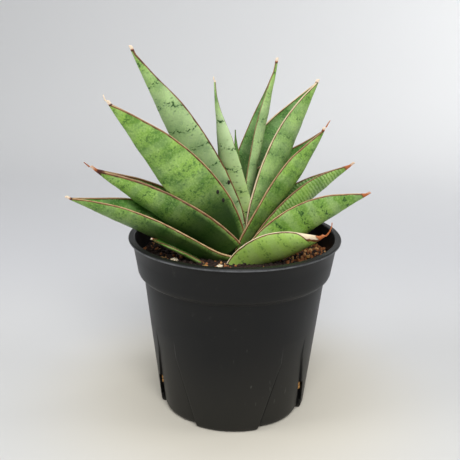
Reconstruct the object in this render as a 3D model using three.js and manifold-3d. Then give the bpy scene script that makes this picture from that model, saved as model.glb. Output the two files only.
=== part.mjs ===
// A dwarf snake plant in a round nursery pot.
// Millimetres, +Z up, -Y the front, origin at the centre of the pot's underside.
import * as THREE from "three";
import { mergeVertices } from "three/addons/utils/BufferGeometryUtils.js";
import Module from "manifold-3d";

const wasm = await Module();
wasm.setup();

const rad = THREE.MathUtils.degToRad;

// Clearances
const GAP = 0.3; // between two pieces that touch
const OVERSHOOT = 2; // how far a cutting body runs past the face it opens

// Pot
const POT_RADIUS = 52.5; // the lip's outer edge
const POT_HEIGHT = 89.6;
const WALL = 1.3;
const LIP_WIDTH = 1.9; // how far the lip's flange stands out
const LIP_DROP = 1.5; // its thickness
const COLLAR_HEIGHT = 15; // from the rim down to the collar's shoulder
const COLLAR_TAPER = 2.1; // how much narrower the collar gets on the way down
const SHOULDER_INSET = 3.2; // from the collar in to the crease
const SHOULDER_DROP = 4.8;
const BODY_TAPER = 7.9; // from the crease to the feet
const FOOT_EDGE = 1.8; // rounding of the bottom edge
const FLOOR = 2; // thickness of the floor over a foot
const POT_SEGMENTS = 48;
const COLLAR_TOP_RADIUS = POT_RADIUS - LIP_WIDTH; // the collar's outside, just under the lip
const COLLAR_BOTTOM_RADIUS = COLLAR_TOP_RADIUS - COLLAR_TAPER;
const COLLAR_BOTTOM_Z = POT_HEIGHT - COLLAR_HEIGHT;
const CREASE_RADIUS = COLLAR_BOTTOM_RADIUS - SHOULDER_INSET; // where the collar's shoulder meets the body
const CREASE_Z = COLLAR_BOTTOM_Z - SHOULDER_DROP;
const FOOT_RADIUS = CREASE_RADIUS - BODY_TAPER;

// Recesses between the pot's four feet
const RECESS_AZIMUTHS = [44, 128, 224, 308]; // degrees from the front, to the right
const RECESS_DEPTH = 2.1; // at the bottom, beside the feet
const RECESS_TOP_DEPTH = 0.5;
const RECESS_SWELL = 1.1; // how far its bottom swells out midway between the feet
const RECESS_HALF_BOTTOM = 24.5; // half its width in degrees
const RECESS_HALF_TOP = 10.5;
const RECESS_TOP_Z = 36; // where it starts to fade out
const RECESS_FADE_Z = 46;
const RECESS_LIFT = 0.8; // its floor above the feet
const BOSS_RADIUS = 11; // flat middle of the underside
const SLOT_INTO_FOOT = 0.5; // a drain slot's reach into the foot, past the wall that it pierces
const SLOT_BOTTOM_Z = 5;
const SLOT_TOP_Z = 18;
const DRAIN_RADIUS = 1.8; // drain holes
const DRAIN_SEGMENTS = 12;
const DRAIN_RING_RADIUS = 23;

// Soil and crown; the plant's heights are from the rim, which its lower leaves lean over
const SOIL_DROP = 11; // from the rim to the soil at the wall
const SOIL_Z = POT_HEIGHT - SOIL_DROP;
const SOIL_MOUND = 1.8; // how much higher it lies round the crown
const SOIL_RINGS = [1, 0.75, 0.5, 0.25, 0]; // rings of its top, as shares of its radius
const CROWN_RADIUS = 13;
const CROWN_DROP = 8.6; // from the rim to its top
const CROWN_HEIGHT = 19;
const CROWN_TOP_Z = POT_HEIGHT - CROWN_DROP;
const CROWN_BOTTOM_Z = CROWN_TOP_Z - CROWN_HEIGHT;
const CROWN_SEGMENTS = 24;

// Leaf sections
const LEAF_STATIONS = 11;
const SECTION_STEPS = 6; // along half a section's outline, margin to margin
const OUTER_POWER = 1.7; // superellipse exponent of the keeled outside
const INNER_POWER = 1.5; // and of the channel
const WIDEST = 0.27; // share of the length at which a leaf is widest
const TAPER_POWER = 0.9;
const CLASP_LENGTH = 0.3; // share of the length over which a base clasps the crown
const KEEL_BASE = 5.5; // thickness at the keel
const KEEL_TIP = 3;
const MARGIN = 1.3; // thickness at the margins
const BEAK = 0.12; // share of the length that is solid below the tip
const TIP_RADIUS = 0.35;

function solidOf(geometry) {
  geometry.deleteAttribute("normal");
  geometry.deleteAttribute("uv");
  const merged = mergeVertices(geometry, 1e-4);
  return new wasm.Manifold(
    new wasm.Mesh({
      numProp: 3,
      vertProperties: new Float32Array(merged.attributes.position.array),
      triVerts: new Uint32Array(merged.index.array),
    }),
  );
}

function geometryOf(solid) {
  const mesh = solid.getMesh();
  const geometry = new THREE.BufferGeometry();
  geometry.setAttribute("position", new THREE.BufferAttribute(new Float32Array(mesh.vertProperties), 3));
  geometry.setIndex(new THREE.BufferAttribute(new Uint32Array(mesh.triVerts), 1));
  const flat = geometry.toNonIndexed();
  flat.computeVertexNormals();
  return flat;
}

function joined(bodies) {
  return bodies.reduce((whole, body) => whole.add(body));
}

function largestBody(solid) {
  const bodies = solid.decompose();
  return bodies.reduce((best, body) => (body.volume() > best.volume() ? body : best));
}

// A closed body through equal rings of points. A ring is two facing rows of points, out along one and back
// along the other, so each end closes with a strip between its rows.
function loft(rings) {
  const count = rings[0].length;
  const last = (rings.length - 1) * count;
  const index = [];
  for (let i = 0; i < last; i += count)
    for (let j = 0; j < count; j++) {
      const a = i + j;
      const b = i + ((j + 1) % count);
      index.push(a, b, b + count, a, b + count, a + count);
    }
  for (let j = 0; j + 1 < count / 2; j++) {
    const far = count - 1 - j;
    index.push(j, far, j + 1, j + 1, far, far - 1);
    index.push(last + j, last + j + 1, last + far, last + j + 1, last + far - 1, last + far);
  }
  const positions = rings.flat().flatMap((p) => [p.x, p.y, p.z]);
  const build = (order) => {
    const geometry = new THREE.BufferGeometry();
    geometry.setAttribute("position", new THREE.Float32BufferAttribute(positions, 3));
    geometry.setIndex(order);
    return solidOf(geometry);
  };
  const solid = build(index);
  return solid.volume() > 0 ? solid : build(index.toReversed());
}

// A body of revolution about Z from a profile of [radius, z] that starts and ends on the axis.
function turned(profile, segments) {
  const points = profile.map(([r, z]) => new THREE.Vector2(r, z));
  const geometry = new THREE.LatheGeometry(points, segments);
  geometry.rotateX(Math.PI / 2);
  return solidOf(geometry);
}

function polar(radius, azimuth, z) {
  return new THREE.Vector3(radius * Math.sin(rad(azimuth)), -radius * Math.cos(rad(azimuth)), z);
}

// A wedge of a ring: each level gives z, the two azimuths that it runs between, inner and outer radius, and how
// far the inner face swells out midway.
function sector(levels) {
  const steps = 6;
  const rings = levels.map(({ z, from, to, inner, outer, swell = 0 }) => {
    const ring = [];
    for (let i = 0; i <= steps; i++) {
      const off = (2 * i) / steps - 1;
      ring.push(polar(inner + swell * (1 - off * off), from + ((to - from) * i) / steps, z));
    }
    for (let i = steps; i >= 0; i--) ring.push(polar(outer, from + ((to - from) * i) / steps, z));
    return ring;
  });
  return loft(rings);
}

function bodyRadius(z) {
  return FOOT_RADIUS + ((CREASE_RADIUS - FOOT_RADIUS) * z) / CREASE_Z;
}

function degreesAlong(length) {
  return THREE.MathUtils.radToDeg(length / FOOT_RADIUS);
}

function recessHalf(z) {
  return RECESS_HALF_BOTTOM - ((RECESS_HALF_BOTTOM - RECESS_HALF_TOP) * z) / RECESS_TOP_Z;
}

// The recesses' cutting bodies; "skin" thickens them all round, for the wall that follows them on the inside.
function recesses(skin) {
  const bodies = [];
  for (const middle of RECESS_AZIMUTHS) {
    const level = (z, half, depth) => ({
      z,
      from: middle - half - degreesAlong(skin),
      to: middle + half + degreesAlong(skin),
      inner: bodyRadius(z) - depth - skin,
      outer: bodyRadius(z) + OVERSHOOT * 2,
    });
    const side = [
      { ...level(-OVERSHOOT, recessHalf(-OVERSHOOT), RECESS_DEPTH), swell: RECESS_SWELL },
      level(RECESS_TOP_Z, RECESS_HALF_TOP, RECESS_TOP_DEPTH),
      level(RECESS_FADE_Z + skin, RECESS_HALF_TOP, 0),
    ];
    const groove = { ...level(0, RECESS_HALF_BOTTOM, 0), inner: BOSS_RADIUS - skin, outer: FOOT_RADIUS };
    const lifted = [
      { ...groove, z: -OVERSHOOT },
      { ...groove, z: RECESS_LIFT + skin },
    ];
    bodies.push(sector(side), sector(lifted));
  }
  return joined(bodies);
}

function potOutline() {
  return [
    [0, 0],
    [FOOT_RADIUS - FOOT_EDGE, 0],
    [FOOT_RADIUS - FOOT_EDGE * 0.3, FOOT_EDGE * 0.3],
    [bodyRadius(FOOT_EDGE), FOOT_EDGE],
    [CREASE_RADIUS, CREASE_Z],
    [COLLAR_BOTTOM_RADIUS - 1.4, CREASE_Z + 1],
    [COLLAR_BOTTOM_RADIUS - 0.3, CREASE_Z + 2.6],
    [COLLAR_BOTTOM_RADIUS, COLLAR_BOTTOM_Z],
    [COLLAR_TOP_RADIUS, POT_HEIGHT - LIP_DROP - 0.3],
    [POT_RADIUS - 0.3, POT_HEIGHT - LIP_DROP],
    [POT_RADIUS, POT_HEIGHT - LIP_DROP / 2],
    [POT_RADIUS - 0.5, POT_HEIGHT],
    [0, POT_HEIGHT],
  ];
}

// The room inside the pot, open past the rim.
function potInside() {
  const top = POT_HEIGHT + OVERSHOOT;
  const profile = [
    [0, FLOOR],
    [bodyRadius(FLOOR) - WALL, FLOOR],
    [bodyRadius(CREASE_Z) - WALL, CREASE_Z],
    [COLLAR_BOTTOM_RADIUS - WALL, COLLAR_BOTTOM_Z],
    [COLLAR_TOP_RADIUS - WALL, top],
    [0, top],
  ];
  return turned(profile, POT_SEGMENTS).subtract(recesses(WALL));
}

// A slot up each side of the two side feet, through the step between foot and recess, and a round hole in each
// groove of the underside.
function drains() {
  const bodies = [];
  for (const middle of RECESS_AZIMUTHS) {
    const side = Math.sin(rad(2 * middle)) > 0 ? 1 : -1; // towards the nearer side foot
    const level = (z) => {
      const step = middle + side * recessHalf(z);
      const ends = [step - side * degreesAlong(WALL), step + side * degreesAlong(WALL + SLOT_INTO_FOOT)];
      return {
        z,
        from: Math.min(...ends),
        to: Math.max(...ends),
        inner: bodyRadius(z) - RECESS_DEPTH - WALL * 2,
        outer: bodyRadius(z) + OVERSHOOT,
      };
    };
    bodies.push(sector([level(SLOT_BOTTOM_Z), level(SLOT_TOP_Z)]));
    const hole = new THREE.CylinderGeometry(DRAIN_RADIUS, DRAIN_RADIUS, FLOOR * 4, DRAIN_SEGMENTS);
    const at = polar(DRAIN_RING_RADIUS, middle, 0);
    hole.rotateX(Math.PI / 2);
    hole.translate(at.x, at.y, at.z);
    bodies.push(solidOf(hole));
  }
  return joined(bodies);
}

function makePot() {
  const outside = turned(potOutline(), POT_SEGMENTS).subtract(recesses(0));
  return outside.subtract(potInside()).subtract(drains());
}

// The short thick stem that the leaves grow from; "grow" makes it larger all round.
function makeCrown(grow) {
  const radius = CROWN_RADIUS + grow;
  const top = CROWN_TOP_Z + grow;
  const bottom = CROWN_BOTTOM_Z - grow;
  const profile = [
    [0, bottom],
    [radius * 0.7, bottom],
    [radius, bottom + 4],
    [radius, top - 4],
    [radius * 0.6, top - 1],
    [0, top],
  ];
  return turned(profile, CROWN_SEGMENTS);
}

function soilHeight(radius) {
  return SOIL_Z + SOIL_MOUND * (1 - THREE.MathUtils.smoothstep(radius, CROWN_RADIUS, COLLAR_BOTTOM_RADIUS));
}

// The soil stands clear of the recesses' bulges inside, and lies against the wall above them.
function makeSoil() {
  const skin = WALL + GAP;
  const slope = (COLLAR_TOP_RADIUS - COLLAR_BOTTOM_RADIUS) / (POT_HEIGHT - COLLAR_BOTTOM_Z);
  const bottom = RECESS_LIFT + WALL + GAP;
  const fade = RECESS_FADE_Z + skin;
  const edgeRadius = COLLAR_BOTTOM_RADIUS - skin + slope * (SOIL_Z - COLLAR_BOTTOM_Z);
  const top = SOIL_RINGS.map((share) => [edgeRadius * share, soilHeight(edgeRadius * share)]);
  const profile = [
    [0, bottom],
    [bodyRadius(bottom) - RECESS_DEPTH - skin, bottom],
    [bodyRadius(fade) - RECESS_DEPTH - skin, fade],
    [bodyRadius(fade + RECESS_DEPTH) - skin, fade + RECESS_DEPTH],
    [bodyRadius(CREASE_Z) - skin, CREASE_Z + GAP],
    [COLLAR_BOTTOM_RADIUS - skin, COLLAR_BOTTOM_Z + GAP],
    ...top,
  ];
  return turned(profile, POT_SEGMENTS);
}

// How wide a leaf is at share t of its length, against its widest.
function widthShare(t, base) {
  if (t > WIDEST) return Math.sin((Math.PI / 2) * Math.pow((1 - t) / (1 - WIDEST), TAPER_POWER));
  return base + (1 - base) * Math.sin((Math.PI / 2) * (t / WIDEST));
}

// The keel's line, with the leaf's own directions at each station.
function keelLine(leaf, stations) {
  const line = [];
  const at = new THREE.Vector3(leaf.x, leaf.y, POT_HEIGHT - leaf.drop);
  let before = null;
  for (let i = 0; i <= stations; i++) {
    const t = i / stations;
    const clasp = leaf.clasp * Math.pow(Math.max(0, 1 - t / CLASP_LENGTH), 2);
    const rise = rad(leaf.rise - leaf.bend * t + clasp);
    const bearing = rad(leaf.bearing + leaf.sway * t);
    const along = new THREE.Vector3(
      Math.cos(rise) * Math.sin(bearing),
      -Math.cos(rise) * Math.cos(bearing),
      Math.sin(rise),
    );
    if (before) at.addScaledVector(before.clone().add(along), leaf.length / stations / 2);
    before = along;
    const level = new THREE.Vector3(Math.cos(bearing), Math.sin(bearing), 0);
    const up = new THREE.Vector3().crossVectors(level, along).multiplyScalar(-1);
    if (up.z < 0) up.multiplyScalar(-1);
    const turn = rad(leaf.roll + leaf.twist * t);
    const side = level.clone().multiplyScalar(Math.cos(turn)).addScaledVector(up, Math.sin(turn));
    const face = up.clone().multiplyScalar(Math.cos(turn)).addScaledVector(level, -Math.sin(turn));
    line.push({ t, at: at.clone(), side, face });
  }
  return line;
}

// One arc of a leaf's section from margin to margin.
function arc(place, halfWidth, depth, floor, power) {
  const points = [];
  for (let i = -SECTION_STEPS / 2; i <= SECTION_STEPS / 2; i++) {
    const angle = (Math.PI * i) / SECTION_STEPS;
    const across = Math.sign(i) * Math.pow(Math.abs(Math.sin(angle)), 2 / power);
    const high = 1 - Math.pow(Math.abs(Math.cos(angle)), 2 / power);
    const point = place.at.clone();
    point.addScaledVector(place.side, halfWidth * across);
    point.addScaledVector(place.face, floor + (depth - floor) * high);
    points.push(point);
  }
  return points;
}

// A leaf with its channel; with "grow" it is the same leaf, larger all round and filled up to its margins.
function makeLeaf(leaf, grow) {
  const rings = keelLine(leaf, LEAF_STATIONS).map((place) => {
    const share = widthShare(place.t, leaf.base);
    const halfWidth = Math.max(leaf.gape * share, TIP_RADIUS) + grow;
    const depth = Math.max(leaf.depth * share, TIP_RADIUS) + grow;
    const keel = KEEL_BASE + (KEEL_TIP - KEEL_BASE) * place.t;
    const beak = THREE.MathUtils.smoothstep(place.t, 1 - 2 * BEAK, 1 - BEAK / 2);
    const thickness = Math.min(keel, depth * 0.6) * (1 - beak) + depth * 0.8 * beak;
    const floor = grow > 0 ? depth * 0.99 : thickness;
    const margin = Math.min(grow > 0 ? 0.1 : MARGIN, halfWidth * 0.35);
    const outer = arc(place, halfWidth, depth, -grow, OUTER_POWER);
    const inner = arc(place, halfWidth - margin, depth, floor, INNER_POWER);
    return [...outer, ...inner.reverse()];
  });
  return loft(rings);
}

// Leaves from the outermost inwards. x, y: the keel's foot, and drop: how far below the rim it lies.
// bearing: degrees from the front, to the right.
// rise: above the level, bend: how much it drops by the tip, sway: how much the bearing turns.
const LEAVES = {
  leaf_front_left_low: {
    x: -14, y: -10, drop: 14.6, bearing: -75, rise: 33, bend: 6, sway: 0, length: 31,
    gape: 8.7, depth: 4.3, roll: -13, twist: 0, base: 0.85, clasp: 9,
  },
  leaf_right_lowest: {
    x: 8.5, y: -13, drop: 16.6, bearing: 69.5, rise: 21, bend: -19.5, sway: -10, length: 43,
    gape: 12.5, depth: 12.6, roll: -1, twist: -30.5, base: 0.88, clasp: 34,
  },
  leaf_left_lowest: {
    x: -6, y: -1, drop: 14.1, bearing: -77, rise: 26.5, bend: -1.5, sway: -1.5, length: 83,
    gape: 12.6, depth: 14, roll: -25, twist: 30, base: 1, clasp: -20,
  },
  leaf_right_low: {
    x: 17.5, y: -7.5, drop: 12.6, bearing: 91.5, rise: 38, bend: 4.5, sway: -3, length: 59,
    gape: 12.7, depth: 14.3, roll: -14, twist: -8.5, base: 0.92, clasp: 16,
  },
  leaf_left_low: {
    x: -7.5, y: -5, drop: 11.1, bearing: -85, rise: 30.5, bend: -10.5, sway: 2.5, length: 76,
    gape: 12.8, depth: 14.5, roll: 4.5, twist: 4, base: 0.88, clasp: 11.5,
  },
  leaf_right_back: {
    x: 10.5, y: 4, drop: 12.6, bearing: 114, rise: 39, bend: 0, sway: -13.5, length: 69,
    gape: 11.4, depth: 12.2, roll: -1, twist: -20.5, base: 0.87, clasp: 15,
  },
  leaf_right_middle: {
    x: 3, y: 5.5, drop: 9.6, bearing: 106.5, rise: 37, bend: -31.5, sway: -9, length: 74,
    gape: 12.7, depth: 18.2, roll: 28, twist: -37.5, base: 0.86, clasp: 21.5,
  },
  leaf_left_middle: {
    x: -13, y: -5, drop: 11.6, bearing: -66, rise: 56, bend: -1, sway: 9, length: 93,
    gape: 13.4, depth: 20.5, roll: -1, twist: 8, base: 0.82, clasp: 13,
  },
  leaf_right_high: {
    x: 10, y: 8.5, drop: 11.6, bearing: 120, rise: 67, bend: 0.5, sway: -6, length: 91.5,
    gape: 12.5, depth: 20.8, roll: 10.5, twist: -22.5, base: 0.64, clasp: 8.5,
  },
  leaf_left_high: {
    x: -5, y: 1, drop: 13.1, bearing: -80, rise: 65.5, bend: -0.5, sway: 8, length: 112,
    gape: 12, depth: 15.5, roll: 3, twist: 10, base: 0.7, clasp: 5,
  },
  leaf_right_upright: {
    x: 1.5, y: 6, drop: 12.1, bearing: 106.5, rise: 75, bend: -7, sway: -19, length: 98,
    gape: 10.7, depth: 8.8, roll: 24.5, twist: -27.5, base: 0.6, clasp: 9,
  },
  leaf_centre: {
    x: 1.5, y: 1, drop: 12.6, bearing: -50, rise: 71.5, bend: -15.5, sway: -14, length: 89,
    gape: 10.5, depth: 6.6, roll: 7, twist: -18, base: 0.6, clasp: 10.5,
  },
  leaf_spear: {
    x: 0.7, y: 4, drop: 9.6, bearing: -157, rise: 88, bend: 3, sway: 0, length: 60,
    gape: 3.3, depth: 3.4, roll: 0, twist: 0, base: 0.9, clasp: 0,
  },
};

// Loose bits on the soil: place, half sizes along, across and high, and the turn of the long side in degrees.
const BITS = {
  perlite_left: { x: -29, y: -15.5, half: [2.6, 1.6, 1.1], turn: 15, colour: "perlite" },
  perlite_front: { x: -7, y: -24.5, half: [1.9, 1.3, 1.0], turn: -20, colour: "perlite" },
  perlite_right: { x: 27, y: -24, half: [1.6, 1.4, 1.0], turn: 60, colour: "perlite" },
  perlite_back: { x: 12, y: 31, half: [2.0, 1.5, 1.1], turn: 35, colour: "perlite" },
  bark_left: { x: -35.5, y: -11, half: [2.4, 1.2, 0.8], turn: -30, colour: "bark" },
  bark_front: { x: -14, y: -24, half: [2.2, 1.1, 0.8], turn: 25, colour: "bark" },
  bark_right: { x: 36, y: -6, half: [2.0, 1.3, 0.8], turn: 80, colour: "bark" },
  bark_back: { x: -19, y: 27, half: [2.5, 1.3, 0.9], turn: 10, colour: "bark" },
};

const COLOURS = {
  pot: { color: 0x2b2c2e, roughness: 0.55 },
  soil: { color: 0x3a2a1e, roughness: 0.95 },
  crown: { color: 0x8a7a4a, roughness: 0.8 },
  leaf: { color: 0x5f8a4a, roughness: 0.45 },
  perlite: { color: 0xd8cdb6, roughness: 0.9 },
  bark: { color: 0x7a5230, roughness: 0.9 },
};

function makeBit({ x, y, half, turn }) {
  const [along, across, high] = half;
  const bit = new THREE.IcosahedronGeometry(1, 0);
  bit.scale(along, across, high);
  bit.rotateZ(rad(turn));
  bit.computeBoundingBox();
  bit.translate(x, y, soilHeight(Math.hypot(x, y)) + GAP - bit.boundingBox.min.z);
  return solidOf(bit);
}

const plant = new THREE.Group();
plant.name = "potted_snake_plant";

function addPiece(name, solid, colour) {
  const material = new THREE.MeshStandardMaterial({ ...COLOURS[colour], metalness: 0 });
  const mesh = new THREE.Mesh(geometryOf(solid), material);
  mesh.name = name;
  plant.add(mesh);
}

const crownGrown = makeCrown(GAP);
const names = Object.keys(LEAVES);
const grown = names.map((name) => makeLeaf(LEAVES[name], GAP));

addPiece("pot", makePot(), "pot");
addPiece("crown", makeCrown(0), "crown");

let soil = makeSoil().subtract(crownGrown);
names.forEach((name, i) => {
  let leaf = makeLeaf(LEAVES[name], 0).subtract(crownGrown);
  for (let inner = i + 1; inner < names.length; inner++) leaf = leaf.subtract(grown[inner]);
  const kept = largestBody(leaf);
  addPiece(name, kept, "leaf");
  soil = soil.subtract(grown[i]);
});
addPiece("soil", largestBody(soil), "soil");
for (const [name, bit] of Object.entries(BITS)) addPiece(name, makeBit(bit), bit.colour);

export default plant;
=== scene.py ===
import functools
import math
import random

import bmesh
import bpy
from mathutils import Matrix, Vector, noise


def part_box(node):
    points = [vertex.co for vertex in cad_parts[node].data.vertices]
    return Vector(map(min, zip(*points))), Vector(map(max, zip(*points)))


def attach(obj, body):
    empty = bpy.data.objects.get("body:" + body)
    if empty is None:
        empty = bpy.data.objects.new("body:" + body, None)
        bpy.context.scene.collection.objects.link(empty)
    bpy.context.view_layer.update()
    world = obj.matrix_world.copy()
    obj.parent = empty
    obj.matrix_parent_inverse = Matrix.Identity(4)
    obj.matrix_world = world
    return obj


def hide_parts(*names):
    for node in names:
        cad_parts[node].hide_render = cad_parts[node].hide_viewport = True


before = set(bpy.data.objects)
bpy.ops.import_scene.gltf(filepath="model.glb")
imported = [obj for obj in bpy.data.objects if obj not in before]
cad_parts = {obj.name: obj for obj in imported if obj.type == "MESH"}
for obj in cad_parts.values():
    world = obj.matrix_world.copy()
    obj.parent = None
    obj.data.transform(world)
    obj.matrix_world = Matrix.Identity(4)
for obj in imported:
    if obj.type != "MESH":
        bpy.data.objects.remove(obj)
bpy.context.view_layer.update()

# A dwarf snake plant in a black nursery pot. Sizes are in millimetres up to the point where a piece is finished.
MM = 0.001


# ---------------------------------------------------------------- small tools


def smoothstep(x, low, high):
    t = min(1.0, max(0.0, (x - low) / (high - low)))
    return t * t * (3 - 2 * t)


def mix(a, b, share):
    return a + (b - a) * share


def ripple(x, y, z, wavelength):
    """Smooth noise from -1 to 1 whose waves are about that long."""
    return noise.noise(Vector((x, y, z)) / wavelength)


def polar(radius, azimuth, z):
    """A point at that many degrees from the front, to the right."""
    a = math.radians(azimuth)
    return Vector((radius * math.sin(a), -radius * math.cos(a), z))


def draw_line(bm, points):
    """A chain of edges through those points, vertices first."""
    row = [bm.verts.new(point) for point in points]
    return row + [bm.edges.new(pair) for pair in zip(row, row[1:])]


def turn_round(bm, chain, steps):
    """Spins a chain once round the upright axis."""
    bmesh.ops.spin(bm, geom=chain, cent=(0, 0, 0), axis=(0, 0, 1), angle=math.tau, steps=steps, use_merge=True)


def close_skin(bm, gap=1e-3):
    """Merges what meets and turns the faces outwards."""
    bmesh.ops.remove_doubles(bm, verts=bm.verts, dist=gap)
    bmesh.ops.recalc_face_normals(bm, faces=bm.faces)


def make_object(name, bm, material, sharp=None):
    """Turns a bmesh in millimetres into an object in the shared frame, smooth but for edges sharper than that."""
    bmesh.ops.scale(bm, vec=(MM, MM, MM), verts=bm.verts)
    mesh = bpy.data.meshes.new(name)
    bm.to_mesh(mesh)
    bm.free()
    mesh.shade_smooth()
    if sharp is not None:
        mesh.set_sharp_from_angle(angle=math.radians(sharp))
    mesh.materials.append(material)
    made = bpy.data.objects.new(name, mesh)
    bpy.context.scene.collection.objects.link(made)
    return made


def finish_piece(name, bm, material, nodes=(), sharp=None):
    piece = make_object(name, bm, material, sharp)
    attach(piece, "root")
    if nodes:
        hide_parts(*nodes)


# ---------------------------------------------------------------- materials

# Settings of the nodes used most: a smooth step, a blend of two colours, and sums.
STEP = {"interpolation_type": "SMOOTHSTEP"}
COLOURS = {"data_type": "RGBA"}
TIMES, PLUS, TIMES_PLUS = ({"operation": name} for name in ("MULTIPLY", "ADD", "MULTIPLY_ADD"))


def colour(hex_code):
    """An sRGB hex colour as linear RGBA."""
    def linear(c):
        return c / 12.92 if c <= 0.04045 else ((c + 0.055) / 1.055) ** 2.4
    return tuple(linear(int(hex_code[i : i + 2], 16) / 255) for i in (0, 2, 4)) + (1,)


def connect(node, inputs):
    """Links or sets a node's inputs, given by name, or as a tuple in the order that the node shows them."""
    shown = [socket for socket in node.inputs if socket.enabled]
    pairs = zip(shown, inputs) if isinstance(inputs, tuple) else ((node.inputs[key], inputs[key]) for key in inputs)
    for socket, value in pairs:
        if isinstance(value, bpy.types.NodeSocket):
            node.id_data.links.new(value, socket)
        else:
            socket.default_value = value


def add_node(tree, kind, inputs=(), out=None, **settings):
    """Adds a shader node with its settings and inputs, and returns its first output or the one named."""
    node = tree.nodes.new("ShaderNode" + kind)
    for key, value in settings.items():
        setattr(node, key, value)
    connect(node, inputs)
    return node.outputs[out] if out else next(socket for socket in node.outputs if socket.enabled)


def start_material(name):
    """A new material with its shader, and add_node bound to it."""
    material = bpy.data.materials.new(name)
    material.use_nodes = True
    tree = material.node_tree
    return material, tree.nodes["Principled BSDF"], functools.partial(add_node, tree)


def paint(add, skin, *coats):
    """Lays coats over a skin one after another, each its share at every place and its colour."""
    for share, coat in coats:
        tint = colour(coat) if isinstance(coat, str) else coat
        skin = add("Mix", (share, skin, tint), **COLOURS)
    return skin


def spots(size):
    """The scale of a noise whose spots are about that size, in the unit of its coordinates."""
    return 0.5 / size


LEAF_ATTRIBUTES = (
    "along", "across", "edge", "dry", "inside", "bloom", "banding", "ribs", "papery", "fresh_and_lit", "painted_shade", "cream", "rust",
    "layer",
)


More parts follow.
